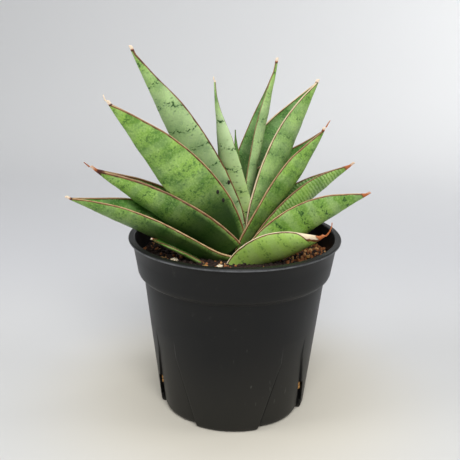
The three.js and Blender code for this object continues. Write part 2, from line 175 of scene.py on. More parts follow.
def leaf_material():
    """Snake plant leaf: a thick waxy cuticle, dull satin, mottled green with broken dark cross bands, edged
    with a brown line and a papery cream rim, and dried brown at the tip. Its patterns lie on the skin, in
    millimetres along and across it, in a layer of their own for each side of each leaf."""
    material, shader, add = start_material("snake_plant_cuticle")
    along, across, edge, dry, inside, bloom, banding, ribs, papery, fresh_and_lit, painted_shade, cream, rust, layer = (
        add("Attribute", out="Fac", attribute_name=name) for name in LEAF_ATTRIBUTES
    )
    layer = add("Math", (inside, 40.0, layer), **TIMES_PLUS)
    on_leaf = add("CombineXYZ", (along, across, layer))
    stretched = add("VectorMath", (on_leaf, (1.0, 0.6, 1.0)), **TIMES)

    # Mottled green: cloudy patches of yellower and deeper green 5 mm across, soft spots and a fine grain.
    clouds = add("TexNoise", {"Vector": on_leaf, "Scale": spots(5.0), "Detail": 3})
    speckle = add("TexNoise", {"Vector": on_leaf, "Scale": spots(0.8), "Detail": 2})
    fine = add("TexNoise", {"Vector": on_leaf, "Scale": spots(0.4), "Detail": 2})
    patches = add("TexNoise", {"Vector": on_leaf, "Scale": spots(8.0), "Detail": 1})
    spotty = add("MapRange", (patches, 0.35, 0.6, 0.25, 0.75), **STEP)
    dark_spots = add("Math", (add("MapRange", (speckle, 0.54, 0.7), **STEP), spotty), **TIMES)
    inner = paint(add, colour("3f7026"), (add("MapRange", (clouds, 0.3, 0.7), **STEP), "609836"))
    green = paint(
        add,
        colour("5f8a30"),
        (add("MapRange", (clouds, 0.32, 0.68), **STEP), "91ba4c"),
        (inside, inner),
        (dark_spots, "3f6d28"),
        (add("MapRange", (speckle, 0.45, 0.25, 0, 0.25), **STEP), "a3c873"),
        (add("MapRange", (fine, 0.5, 0.72, 0, 0.5), **STEP), "4a7a2e"),
        (add("MapRange", (fine, 0.5, 0.3, 0, 0.3), **STEP), "b3d182"),
    )

    # Waxy bloom: a pale grey-green haze, thicker in patches and thin in the channel. A young leaf base is
    # yellower and paler; on leaf_centre that paler yellow-green is also painted light on a leaf that the others shade.
    haze = add("Math", (bloom, add("MapRange", (clouds, 0.25, 0.75, 0.65, 1.0), **STEP)), **TIMES)
    haze = add("Math", (haze, add("MapRange", (inside, 0.0, 1.0, 1.0, 0.35), **STEP)), **TIMES)
    green = paint(add, green, (haze, "c4d8ae"), (add("Math", (fresh_and_lit, 0.7), **TIMES), "a9ca60"))

    # Cross bands, 11 mm apart: ragged rows of fine dots and dashes in a darker smear, and paler green between.
    wander = add("TexNoise", {"Vector": on_leaf, "Scale": spots(9.0), "Detail": 2})
    ragged = add("TexNoise", {"Vector": on_leaf, "Scale": spots(0.9), "Detail": 3})
    dots = add("TexNoise", {"Vector": stretched, "Scale": spots(0.42), "Detail": 1})
    band_place = add("Math", (wander, 9.0, 0.5), **TIMES_PLUS)
    band_place = add("Math", (along, band_place), **PLUS)
    band_place = add("Math", (ragged, 4.0, band_place), **TIMES_PLUS)
    from_band = add("Math", (band_place, 5.5), operation="PINGPONG")
    pale = add("Math", (add("MapRange", (from_band, 2.6, 4.2, 0, 0.3), **STEP), banding), **TIMES)
    smear = add("Math", (add("MapRange", (from_band, 2.2, 0.2, 0, 0.4), **STEP), banding), **TIMES)
    smear = add("Math", (smear, add("MapRange", (dots, 0.35, 0.6), **STEP)), **TIMES)
    dashes = add("Math", (add("MapRange", (from_band, 0.95, 0.35), **STEP), banding), **TIMES)
    dashes = add("Math", (dashes, add("MapRange", (dots, 0.51, 0.59), **STEP)), **TIMES)
    green = paint(add, green, (pale, "b9d196"), (smear, "47742f"), (dashes, "254b1f"))

    # Close ribs on an old leaf, 1.7 mm apart.
    rib_place = add("Math", (ragged, 1.6, along), **TIMES_PLUS)
    from_rib = add("Math", (rib_place, 0.85), operation="PINGPONG")
    ribbed = add("Math", (ribs, add("MapRange", (wander, 0.3, 0.55, 0.35, 1.0), **STEP)), **TIMES)
    rib = add("Math", (add("MapRange", (from_rib, 0.34, 0.05), **STEP), ribbed), **TIMES)
    rib_gap = add("Math", (add("MapRange", (from_rib, 0.45, 0.8, 0, 0.4), **STEP), ribbed), **TIMES)
    green = paint(add, green, (rib_gap, "b9cba3"), (add("Math", (rib, 0.7), **TIMES), "35602d"))

    # Fine dark flecks half a millimetre to one across, in about one cell in three. Over them goes painted shade: a
    # dark green low on the outside, where the leaves lie packed together, and low in the channel.
    cell = add("TexVoronoi", {"Vector": stretched, "Scale": 1 / 1.6, "Randomness": 1.0}, feature="F1")
    chosen = add("SeparateColor", (cell.node.outputs["Color"],))
    fleck = add("Math", (add("MapRange", (cell, 0.36, 0.16, 0, 0.6), **STEP), spotty), **TIMES)
    fleck = add("Math", (fleck, add("MapRange", (chosen, 0.6, 0.66), **STEP)), **TIMES)
    green = paint(add, green, (fleck, "2c5424"), (painted_shade, "17330b"))

    # Margin: a cream papery rim, then a red-brown line, both of uneven width.
    fray = add("TexNoise", {"Vector": on_leaf, "Scale": spots(1.6), "Detail": 3})
    from_edge = add("Math", (edge, add("Math", (fray, 0.7, -0.35), **TIMES_PLUS)), **PLUS)
    brown = paint(add, colour("46261a"), (add("MapRange", (fray, 0.35, 0.65), **STEP), "7c4c2c"))
    paper = paint(
        add,
        colour("9a7044"),
        (add("MapRange", (fray, 0.35, 0.62), **STEP), "dcc296"),
        (add("MapRange", (papery, 1.0, 1.4), **STEP), "f3e6c6"),
    )
    rim = add("Math", (add("MapRange", (from_edge, 0.72, 0.5), **STEP), papery), **TIMES)
    green = paint(add, green, (add("MapRange", (from_edge, 1.25, 0.9), **STEP), brown), (rim, paper))

    # Dried tip: green gives way to dark red-brown, then orange-brown and cream.
    crumble = add("TexNoise", {"Vector": on_leaf, "Scale": spots(1.3), "Detail": 4, "Roughness": 0.65})
    dried = add("Math", (dry, add("Math", (crumble, 0.5, -0.25), **TIMES_PLUS)), **PLUS)
    rusty = add("Math", (rust, 0.6, dried), **TIMES_PLUS)
    creamy = add("Math", (cream, dried), **PLUS)
    husk = paint(
        add,
        colour("4a2216"),
        (add("MapRange", (rusty, 0.8, 1.0), **STEP), "b4683a"),
        (add("MapRange", (creamy, 1.25, 1.5), **STEP), "f0dcc4"),
    )
    skin = paint(add, green, (add("MapRange", (dried, 0.25, 0.45), **STEP), husk))

    # Satin wax, duller on the dry parts.
    gloss = add("Math", (dry, 0.3, add("MapRange", (clouds, 0.2, 0.8, 0.42, 0.54), **STEP)), **TIMES_PLUS)

    # Relief: fine lengthwise lines, shallow dimples, sunken ribs and a crumbled tip.
    lengthwise = add("VectorMath", (on_leaf, (0.12, 1.0, 1.0)), **TIMES)
    lines = add("TexNoise", {"Vector": lengthwise, "Scale": spots(0.5), "Detail": 2})
    crumbled = add("Math", (crumble, dry), **TIMES)
    height = 0.0
    for relief, weight in ((lines, 0.25), (speckle, 0.3), (rib, -0.8), (crumbled, 1.5)):
        height = add("Math", (relief, weight, height), **TIMES_PLUS)
    bump = add("Bump", {"Strength": 0.5, "Distance": 0.12 * MM, "Height": height})
    connect(shader, {"Base Color": skin, "Roughness": gloss, "Normal": bump})
    connect(shader, {"IOR": 1.45, "Specular IOR Level": 0.35, "Subsurface Weight": 0.12})
    connect(shader, {"Subsurface Radius": (0.4, 0.7, 0.2), "Subsurface Scale": 0.8 * MM})
    return material


def pot_material():
    """Injection-moulded polypropylene: charcoal black, a matt sheen, faint handling scuffs and dust."""
    material, shader, add = start_material("moulded_polypropylene")
    where = add("TexCoord", out="Object")
    cloud = add("TexNoise", {"Vector": where, "Scale": spots(18 * MM), "Detail": 3})
    dust = add("TexNoise", {"Vector": where, "Scale": spots(2.5 * MM), "Detail": 5, "Roughness": 0.7})
    # Paler towards the bottom of the body, in clouds.
    height = add("SeparateXYZ", (where,), out="Z")
    cloudy = add("MapRange", (cloud, 0.2, 0.8, 0.7, 1.0), **STEP)
    paler_low = add("Math", (add("MapRange", (height, 55 * MM, 0.0, 0, 0.75), **STEP), cloudy), **TIMES)
    # Scuffs: short pale strokes about 4 mm long, few and far between.
    strokes = add("Mapping", {"Vector": where, "Rotation": (0.2, 0.3, 0.5), "Scale": (1.0, 1.0, 0.22)})
    stroke = add("TexNoise", {"Vector": strokes, "Scale": spots(0.9 * MM), "Detail": 2})
    patch = add("TexNoise", {"Vector": where, "Scale": spots(14 * MM), "Detail": 1})
    scuff = add("MapRange", (patch, 0.58, 0.66), **STEP)
    scuff = add("Math", (add("MapRange", (stroke, 0.68, 0.76), **STEP), scuff), **TIMES)
    # Painted shade: the corners of the recesses are darker, and dull. Painted highlight: a lighter line on the lip's
    # outer edge, and faintly on the crease.
    corner, painted_highlight = (add("Attribute", out="Fac", attribute_name=name) for name in ("corner", "painted_highlight"))
    # Painted highlight on the lip's edge and crease, broken up by the dust's noise.
    broken_highlight = add("Math", (painted_highlight, add("MapRange", (dust, 0.35, 0.6, 0.5, 1.0), **STEP)), **TIMES)
    plastic = paint(
        add,
        colour("101112"),
        (add("MapRange", (cloud, 0.3, 0.7), **STEP), "151515"),
        (add("MapRange", (dust, 0.62, 0.8, 0, 0.12), **STEP), "77766f"),
        (paler_low, "2b2a26"),
        (add("Math", (scuff, 0.16), **TIMES), "8a8983"),
        (add("Math", (corner, 0.9), **TIMES), "060606"),
        (broken_highlight, "66686a"),
    )
    sheen = add("MapRange", (cloud, 0.2, 0.8, 0.4, 0.48), **STEP)
    sheen = add("Math", (corner, 0.5, sheen), **TIMES_PLUS)
    sheen = add("Math", (scuff, 0.2, sheen), **TIMES_PLUS)
    # Orange-peel of the mould, a few hundredths of a millimetre deep.
    peel = add("TexNoise", {"Vector": where, "Scale": spots(0.6 * MM), "Detail": 2})
    bump = add("Bump", {"Strength": 0.25, "Distance": 0.04 * MM, "Height": peel})
    connect(shader, {"Base Color": plastic, "Roughness": sheen, "Normal": bump})
    connect(shader, {"IOR": 1.49, "Specular IOR Level": 0.22})
    return material


def soil_material():
    """Peat with fired clay granules: dark brown and crumbly, each grain its own brown, no gloss."""
    material, shader, add = start_material("peat_and_clay_grit")
    where = add("TexCoord", out="Object")
    tone = add("Attribute", out="Fac", attribute_name="tone")
    crumbs = add("TexNoise", {"Vector": where, "Scale": spots(0.5 * MM), "Detail": 4, "Roughness": 0.7})
    skin = paint(
        add,
        paint(add, colour("120c08"), (crumbs, "38231a")),
        (add("MapRange", (tone, 0.35, 0.6), **STEP), paint(add, colour("5b3118"), (crumbs, "b0703f"))),
        (add("MapRange", (tone, 0.9, 0.94), **STEP), "c79a63"),
    )
    bump = add("Bump", {"Strength": 0.8, "Distance": 0.2 * MM, "Height": crumbs})
    connect(shader, {"Base Color": skin, "Roughness": 0.95, "Normal": bump})
    return material


def perlite_material():
    """Expanded perlite: chalky cream crumbs with pores."""
    material, shader, add = start_material("expanded_perlite")
    where = add("TexCoord", out="Object")
    pores = add("TexNoise", {"Vector": where, "Scale": spots(0.5 * MM), "Detail": 3, "Roughness": 0.6})
    chalk = paint(add, colour("a38a63"), (add("MapRange", (pores, 0.35, 0.6), **STEP), "efe3c8"))
    bump = add("Bump", {"Strength": 0.8, "Distance": 0.15 * MM, "Height": pores})
    connect(shader, {"Base Color": chalk, "Roughness": 0.95, "Normal": bump})
    return material


def bark_material():
    """Pine bark chips: fibrous red-brown flakes."""
    material, shader, add = start_material("pine_bark")
    drawn_out = add("Mapping", {"Vector": add("TexCoord", out="Object"), "Scale": (0.3, 1.0, 1.0)})
    fibre = add("TexNoise", {"Vector": drawn_out, "Scale": spots(0.3 * MM), "Detail": 3, "Roughness": 0.6})
    bump = add("Bump", {"Strength": 0.7, "Distance": 0.15 * MM, "Height": fibre})
    bark = paint(add, colour("5c361c"), (fibre, "cf9c52"))
    connect(shader, {"Base Color": bark, "Roughness": 0.9, "Normal": bump})
    return material


def scab_material():
    """Scabs on the leaves: black-brown, dull and corky."""
    material, shader, add = start_material("leaf_scab")
    cork = add("TexNoise", {"Vector": add("TexCoord", out="Object"), "Scale": spots(0.25 * MM), "Detail": 2})
    connect(shader, {"Base Color": paint(add, colour("0c0d07"), (cork, "2a2415")), "Roughness": 0.8})
    return material


def crown_material():
    """Leaf bases packed round the stem: pale yellow-green, satin."""
    material, shader, add = start_material("leaf_base_tissue")
    cloud = add("TexNoise", {"Vector": add("TexCoord", out="Object"), "Scale": spots(3 * MM), "Detail": 3})
    connect(shader, {"Base Color": paint(add, colour("5d6e2c"), (cloud, "b3b767")), "Roughness": 0.5})
    return material


def backdrop_material():
    """Matt studio paper, a little warm on the floor and cooler up the sweep, with painted light that makes it paler up
    the sweep and a painted warm tint round the pot for light bounced into its shadow.
    """
    material, shader, add = start_material("studio_paper")
    where = add("TexCoord", out="Object")
    depth = add("SeparateXYZ", (where,), out="Y")
    near = add("VectorMath", (where,), operation="LENGTH")
    # Painted light: paler up the sweep. Painted shade: a warmer tint on the floor round the pot.
    paper = paint(
        add,
        colour("d0d0ce"),
        (add("MapRange", (depth, -0.1, 0.25), **STEP), "d2d3d6"),
        (add("MapRange", (depth, 0.2, 0.8), **STEP), "eeeff0"),
        (add("MapRange", (near, 0.13, 0.04), **STEP), "d2cdc0"),
    )
    connect(shader, {"Base Color": paper, "Roughness": 0.9, "Specular IOR Level": 0.2})
    return material


# ---------------------------------------------------------------- pot

pot_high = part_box("pot")[1] / MM
RIM_RADIUS, RIM_Z = pot_high.x, pot_high.z
WALL = 1.3  # millimetres, as all sizes here
LIP_WIDTH, LIP_DROP = 1.9, 1.5
COLLAR_TOP_RADIUS = RIM_RADIUS - LIP_WIDTH
COLLAR_BOTTOM_RADIUS, COLLAR_BOTTOM_Z = COLLAR_TOP_RADIUS - 2.1, RIM_Z - 15
CREASE_RADIUS, CREASE_Z = COLLAR_BOTTOM_RADIUS - 3.2, COLLAR_BOTTOM_Z - 4.8
FOOT_RADIUS, FOOT_EDGE, FLOOR = CREASE_RADIUS - 7.9, 1.8, 2.0
BOSS_RADIUS = 11

# Recesses between the four feet. Front and back feet are wider than the side feet.
FRONT_AZ = -4  # the middle of the front foot
RECESS_FROM_FRONT = 48  # degrees from there to a recess's middle
RECESS_DEPTH, RECESS_LIFT, RECESS_SWELL = 2.1, 0.8, 0.55
RECESS_HALF_BOTTOM, RECESS_HALF_TOP = 24.5, 10.5
RECESS_TOP_Z, RECESS_FADE_Z = 36, 46
COLUMNS = 360  # one a degree before they are bent to follow the recesses' edges
CROWDED = 2  # columns drawn together on each side of an edge
CROWDED_STEP = 0.3  # degrees between them
EDGE_COLUMN = 24  # the column, counted from a recess's middle, that follows its edge
PRESSED = {-2: 1, -1: 0.93, 0: 0.5, 1: 0.07}  # share of the recess's depth by columns past that one
SLOT_SIDES = ((90, -1), (90, 1), (270, -1), (270, 1))  # side foot, and which side of it
SLOT_COLUMNS = range(-4, 4)  # past the edge column
SLOT_BOTTOM_Z, SLOT_TOP_Z = 5, 18
DRAIN_RADIUS, DRAIN_RING_RADIUS = 1.8, 23
DRAIN_ROWS = [DRAIN_RING_RADIUS + DRAIN_RADIUS / 3 * i for i in range(-5, 6)]  # close, to carry the round holes
FLOOR_ROWS = (6, BOSS_RADIUS, BOSS_RADIUS + 1.5, 15, 18, *DRAIN_ROWS, 29, 32)
WALL_ROWS = (*range(3, 48), 50, 54, 58, 62, 66)


def body_radius(z):
    return FOOT_RADIUS + (CREASE_RADIUS - FOOT_RADIUS) * z / CREASE_Z


def pot_profile():
    """Radius and height from the middle of the underside, up the outside, over the lip and down the inside."""
    outside = [(r, 0) for r in (0, *FLOOR_ROWS, FOOT_RADIUS - FOOT_EDGE)]
    for degrees in (25, 45, 65):
        a = math.radians(degrees)
        outside.append((FOOT_RADIUS - FOOT_EDGE * (1 - math.sin(a)), FOOT_EDGE * (1 - math.cos(a))))
    outside += [(body_radius(z), z) for z in (FLOOR, *WALL_ROWS, 68.5)]
    outside += [
        (CREASE_RADIUS - 0.1, CREASE_Z - 0.35),
        (CREASE_RADIUS + 0.15, CREASE_Z),
        (CREASE_RADIUS + 0.9, CREASE_Z + 0.35),
        (COLLAR_BOTTOM_RADIUS - 1.5, CREASE_Z + 0.9),
        (COLLAR_BOTTOM_RADIUS - 0.75, CREASE_Z + 1.7),
        (COLLAR_BOTTOM_RADIUS - 0.3, CREASE_Z + 2.8),
        (COLLAR_BOTTOM_RADIUS, COLLAR_BOTTOM_Z),
        (mix(COLLAR_BOTTOM_RADIUS, COLLAR_TOP_RADIUS, 0.5), COLLAR_BOTTOM_Z + 6.5),
        (COLLAR_TOP_RADIUS - 0.1, RIM_Z - LIP_DROP - 0.6),
        (COLLAR_TOP_RADIUS + 0.25, RIM_Z - LIP_DROP - 0.15),
        (RIM_RADIUS - 0.5, RIM_Z - LIP_DROP),
        (RIM_RADIUS - 0.1, RIM_Z - LIP_DROP + 0.3),
        (RIM_RADIUS, RIM_Z - LIP_DROP * 0.5),
        (RIM_RADIUS - 0.12, RIM_Z - 0.35),
        (RIM_RADIUS - 0.5, RIM_Z),
    ]
    inside = [
        (COLLAR_TOP_RADIUS - WALL + 0.5, RIM_Z),
        (COLLAR_TOP_RADIUS - WALL + 0.1, RIM_Z - 0.35),
        (COLLAR_TOP_RADIUS - WALL, RIM_Z - 1.2),
        (mix(COLLAR_BOTTOM_RADIUS, COLLAR_TOP_RADIUS, 0.5) - WALL, COLLAR_BOTTOM_Z + 6.5),
        (COLLAR_BOTTOM_RADIUS - WALL, COLLAR_BOTTOM_Z),
        (CREASE_RADIUS - WALL, CREASE_Z),
    ]
    inside += [(body_radius(z) - WALL, z) for z in (*reversed(WALL_ROWS), FLOOR)]
    inside += [(r, FLOOR) for r in (*reversed(FLOOR_ROWS), 0)]
    return outside, inside


def recess_half(z):
    if z < RECESS_TOP_Z:
        return mix(RECESS_HALF_BOTTOM, RECESS_HALF_TOP, z / RECESS_TOP_Z)
    return mix(RECESS_HALF_TOP, EDGE_COLUMN, smoothstep(z, RECESS_FADE_Z + 2, CREASE_Z - 2))


def bent_azimuth(offset, half):
    """Where a column lies, in degrees from the middle of its recess whose edge is at half. offset counts
    columns, and reach is the column halfway across the next foot: the front foot's or a side foot's."""
    size, side = abs(offset), math.copysign(1, offset)
    reach = RECESS_FROM_FRONT if offset < 0 else 90 - RECESS_FROM_FRONT
    crowd = CROWDED * CROWDED_STEP
    if size < EDGE_COLUMN - CROWDED:
        return side * size * (half - crowd) / (EDGE_COLUMN - CROWDED)
    if size <= EDGE_COLUMN + CROWDED:
        return side * (half + (size - EDGE_COLUMN) * CROWDED_STEP)
    return side * mix(half + crowd, reach, (size - EDGE_COLUMN - CROWDED) / (reach - EDGE_COLUMN - CROWDED))


def make_pot():
    outside, inside = pot_profile()
    profile = outside + inside
    bm = bmesh.new()
    ring = bm.verts.layers.int.new("ring")
    column = bm.verts.layers.int.new("column")
    corner, painted_highlight = (bm.verts.layers.float.new(key) for key in ("corner", "painted_highlight"))
    chain = draw_line(bm, [(0, -r, z) for r, z in profile])
    for i, vert in enumerate(chain[: len(profile)]):
        vert[ring] = i
    turn_round(bm, chain, COLUMNS)
    # Press the recesses in from both skins. Columns count from the middle of the front foot, and each follows
    # the edge of the recess in its own quarter.
    skin_degrees = math.degrees(WALL / FOOT_RADIUS)
    for vert in bm.verts:
        r, z = profile[vert[ring]]
        is_inside = vert[ring] >= len(outside)
        turned = round(math.degrees(math.atan2(vert.co.x, -vert.co.y))) % COLUMNS
        vert[column] = turned
        quarter = turned // 90
        from_front = turned % 90 if quarter % 2 == 0 else 90 - turned % 90  # up to 90 at the side feet
        offset = from_front - RECESS_FROM_FRONT
        half = recess_half(z) + (skin_degrees if is_inside else 0)
        bent = RECESS_FROM_FRONT + bent_azimuth(offset, half)
        azimuth = FRONT_AZ + 90 * quarter + (bent if quarter % 2 == 0 else 90 - bent)
        past_edge = abs(offset) - EDGE_COLUMN
        share = PRESSED.get(past_edge, 1 if past_edge < 0 else 0)
        sunk = mix(1 - RECESS_SWELL * (1 - smoothstep(z, 0, RECESS_TOP_Z)), 1, (offset / EDGE_COLUMN) ** 2)
        depth = RECESS_DEPTH * max(0.0, 1 - z / RECESS_FADE_Z) * share * sunk
        reach = smoothstep(r, FOOT_RADIUS - 9, FOOT_RADIUS - 2) if z <= FLOOR else 1
        lift = RECESS_LIFT * share * smoothstep(r, BOSS_RADIUS, BOSS_RADIUS + 1.5) * (1 - smoothstep(z, 2, 14))
        if r > 0:
            vert.co = polar(r - depth * reach, azimuth, z + lift * sunk)
        # Painted shade on the recesses' steps low down, painted highlight on the lip's outer edge and faintly on the
        # crease.
        on_step = 1 if -3 <= past_edge <= 0 and not is_inside else 0
        vert[corner] = on_step * (1 - smoothstep(z, 20, 40)) * smoothstep(z, 0.5, 3)
        on_crease = CREASE_RADIUS < r < CREASE_RADIUS + 1 and not is_inside
        vert[painted_highlight] = 1 if r > RIM_RADIUS - 0.11 else 0.12 if on_crease else 0
    pierce_slots(bm, profile, ring, column)
    close_skin(bm, 1e-4)
    return bm


def pierce(bm, faces):
    """Opens a hole through both skins and joins the two edges with its walls."""
    rim = {e for f in faces for e in f.edges if any(g not in faces for g in e.link_faces)}
    bmesh.ops.delete(bm, geom=list(faces), context="FACES_KEEP_BOUNDARY")
    bmesh.ops.bridge_loops(bm, edges=[e for e in rim if e.is_valid])


def pierce_slots(bm, profile, ring, column):
    """Slots up each side of the two side feet, and a round drain hole in each groove of the underside."""
    for side_foot, side in SLOT_SIDES:
        middle = side_foot + side * (90 - RECESS_FROM_FRONT)  # of the recess next to the slot
        slot_columns = {(middle - side * (EDGE_COLUMN + k)) % COLUMNS for k in SLOT_COLUMNS}
        chosen = set()
        for face in bm.faces:
            if not all(v[column] in slot_columns for v in face.verts):
                continue
            heights = [profile[v[ring]][1] for v in face.verts]
            if min(heights) >= SLOT_BOTTOM_Z and max(heights) <= SLOT_TOP_Z:
                chosen.add(face)
        pierce(bm, chosen)
        centre = polar(DRAIN_RING_RADIUS, FRONT_AZ + middle, 0)
        hole = set()
        for face in bm.faces:
            at = face.calc_center_median()
            if at.z < FLOOR + RECESS_LIFT + 0.1 and math.hypot(at.x - centre.x, at.y - centre.y) < DRAIN_RADIUS:
                hole.add(face)
        for vert in {v for f in hole for v in f.verts if any(g not in hole for g in v.link_faces)}:
            out = Vector((vert.co.x - centre.x, vert.co.y - centre.y)).normalized() * DRAIN_RADIUS
            vert.co.x, vert.co.y = centre.x + out.x, centre.y + out.y
        pierce(bm, hole)


# ---------------------------------------------------------------- leaves

# Sections and keel lines, as in the frame. Outermost leaf first.
# x, y: the keel's foot. drop: how far below the rim it lies. bearing: degrees from the front, to the right.
# rise: above the level, bend: how much it drops by the tip, sway: how much the bearing turns.
# Looks: beak thins the last part, tip is half the end's width, dry the length that has dried and thread the length
# of the dead thread past it, with its turn upwards and sideways. cream is how pale the dried end is, rust how far
# its orange runs down into the dark part, and peel the length over which the margin has peeled near it. bloom,
# bands, ribs, papery, fresh_and_lit and painted_shade are from 0 to 1, or a little more for strong paper.
# fresh_and_lit is the pale young base, on leaf_centre also painted light that lifts a leaf the others shade, and
# painted_shade is painted shade, a dark green low on the outside, with their lengths, fresh_and_lit_length and
# shade, beside them. channel_shade is the same painted shade inside the channel. edge is the width of the margin's
# bead, and a line below 1 draws its colours wider. scars are healed punctures on the outside: how far from the foot,
# and along the skin from the keel.
LEAF_DEFAULTS = dict(
    beak=0.15, tip=0.8, edge=1.2,
    dry=3, cream=0.5, rust=0.5, thread=0, thread_up=0, thread_side=0, peel=0,
    bloom=0.12, bands=0.6, ribs=0, papery=0.8, line=1, fresh_and_lit=0.5, fresh_and_lit_length=12, painted_shade=0.7, shade=30, channel_shade=0.6,
    scars=(),
)
LEAVES = {
    "leaf_front_left_low": dict(
        x=-14, y=-10, drop=14.6, bearing=-75, rise=33, bend=6, sway=0, length=31,
        gape=8.7, depth=4.3, roll=-13, twist=0, base=0.85, clasp=9, tip=0.6,
        dry=0.8,
        bloom=0.04, papery=0.15, line=1.8, painted_shade=1, shade=60,
    ),
    "leaf_right_lowest": dict(
        x=8.5, y=-13, drop=16.6, bearing=69.5, rise=21, bend=-19.5, sway=-10, length=43,
        gape=12.5, depth=12.6, roll=-1, twist=-30.5, base=0.88, clasp=34,
        dry=3.5, cream=0.3, rust=0.8, thread=8, thread_up=50, peel=7,
        bloom=0.05, bands=0.45, papery=1.25, line=0.8, fresh_and_lit=1, fresh_and_lit_length=150, painted_shade=0,
    ),
    "leaf_left_lowest": dict(
        x=-6, y=-1, drop=14.1, bearing=-77, rise=26.5, bend=-1.5, sway=-1.5, length=83,
        gape=12.6, depth=14, roll=-25, twist=30, base=1, clasp=-20, tip=0.7,
        dry=3.5, cream=0.7,
        bloom=0.08, bands=0.5, papery=0.8, painted_shade=0.85, shade=76,
    ),
    "leaf_right_low": dict(
        x=17.5, y=-7.5, drop=12.6, bearing=91.5, rise=38, bend=4.5, sway=-3, length=59,
        gape=12.7, depth=14.3, roll=-14, twist=-8.5, base=0.92, clasp=16, tip=0.7,
        dry=4.5, cream=0.4, rust=0.8,
        bloom=0.04, bands=0.9, papery=0.9, line=0.85, fresh_and_lit=0.15, fresh_and_lit_length=60, painted_shade=0,
    ),
    "leaf_left_low": dict(
        x=-7.5, y=-5, drop=11.1, bearing=-85, rise=30.5, bend=-10.5, sway=2.5, length=76,
        gape=12.8, depth=14.5, roll=4.5, twist=4, base=0.88, clasp=11.5, edge=1.5,
        dry=7, cream=0.42, rust=0.25, thread=3.5,
        bloom=0.06, bands=0.6, papery=0.55, line=0.66, painted_shade=0.9, shade=46,
    ),
    "leaf_right_back": dict(
        x=10.5, y=4, drop=12.6, bearing=114, rise=39, bend=0, sway=-13.5, length=69,
        gape=11.4, depth=12.2, roll=-1, twist=-20.5, base=0.87, clasp=15, tip=0.7,
        dry=7, cream=0.45, rust=0.8,
        bloom=0.05, bands=0.15, ribs=1, papery=0.5, fresh_and_lit=0.4, fresh_and_lit_length=90, painted_shade=0.2,
    ),
    "leaf_right_middle": dict(
        x=3, y=5.5, drop=9.6, bearing=106.5, rise=37, bend=-31.5, sway=-9, length=74,
        gape=12.7, depth=18.2, roll=28, twist=-37.5, base=0.86, clasp=21.5,
        dry=2, thread=4, thread_up=-15,
        bloom=0.05, bands=0.5, papery=0.6, painted_shade=0.3, shade=48,
    ),
    "leaf_left_middle": dict(
        x=-13, y=-5, drop=11.6, bearing=-66, rise=56, bend=-1, sway=9, length=93,
        gape=13.4, depth=20.5, roll=-1, twist=8, base=0.82, clasp=13, beak=0.1,
        dry=2.6, cream=0.75, thread=3, thread_up=25,
        bloom=0.06, bands=0.5, line=0.75, painted_shade=0.95, shade=47, scars=((31.3, 22.5), (26.6, 22.5)),
    ),
    "leaf_right_high": dict(
        x=10, y=8.5, drop=11.6, bearing=120, rise=67, bend=0.5, sway=-6, length=91.5,
        gape=12.5, depth=20.8, roll=10.5, twist=-22.5, base=0.64, clasp=8.5, beak=0.1, tip=0.9,
        dry=1.6, cream=0.8,
        bloom=0.25, bands=0.5, papery=1.2, painted_shade=0.5, channel_shade=0.85,
    ),
    "leaf_left_high": dict(
        x=-5, y=1, drop=13.1, bearing=-80, rise=65.5, bend=-0.5, sway=8, length=112,
        gape=12, depth=15.5, roll=3, twist=10, base=0.7, clasp=5, beak=0.25, edge=0.9,
        dry=2.6, cream=0.7,
        bloom=0.55, bands=0.9, papery=0.2, painted_shade=0.3, shade=85, scars=((38, 19.7),),
    ),
    "leaf_right_upright": dict(
        x=1.5, y=6, drop=12.1, bearing=106.5, rise=75, bend=-7, sway=-19, length=98,
        gape=10.7, depth=8.8, roll=24.5, twist=-27.5, base=0.6, clasp=9, beak=0.2, edge=0.8,
        dry=2.4, cream=0.6,
        bloom=0.45, bands=0.6, line=1.8, fresh_and_lit=0.8, fresh_and_lit_length=30, painted_shade=0.2, shade=20,
    ),
    # Its pale base, fresh_and_lit, is also painted light on a leaf that the others shade.
    "leaf_centre": dict(
        x=1.5, y=1, drop=12.6, bearing=-50, rise=71.5, bend=-15.5, sway=-14, length=89,
        gape=10.5, depth=6.6, roll=7, twist=-18, base=0.6, clasp=10.5, beak=0.45, tip=0.5, edge=0.5,
        dry=0.8, cream=1, thread=1.5,
        bloom=0.95, bands=1, papery=0.3, line=3, fresh_and_lit=0.9, fresh_and_lit_length=78, painted_shade=0, channel_shade=0,
    ),
    "leaf_spear": dict(
        x=0.7, y=4, drop=9.6, bearing=-157, rise=88, bend=3, sway=0, length=60,
        gape=3.3, depth=3.4, roll=0, twist=0, base=0.9, clasp=0, tip=0.3, edge=0.4,
        dry=0,
        bands=0.2, papery=0.2, line=12,
    ),
}
OUTER_POWER, INNER_POWER = 1.7, 1.5
WIDEST, TAPER_POWER = 0.27, 0.9
CLASP_LENGTH = 0.3
KEEL_BASE, KEEL_TIP = 5.5, 3.0
STATIONS = 110
INNER_STEPS, RIM_STEPS, OUTER_STEPS = 12, 6, 30  # per half channel, per margin, and round the keel
AROUND = 2 * INNER_STEPS + 2 * RIM_STEPS + OUTER_STEPS
DOME = 6  # rings that round off the tip
THREAD_RINGS = 14
THREAD_RADIUS = 0.42
THREAD_DRYNESS = 0.78


def width_share(t, base):
    if t > WIDEST:
        return math.sin(math.pi / 2 * ((1 - t) / (1 - WIDEST)) ** TAPER_POWER)
    return base + (1 - base) * math.sin(math.pi / 2 * t / WIDEST)


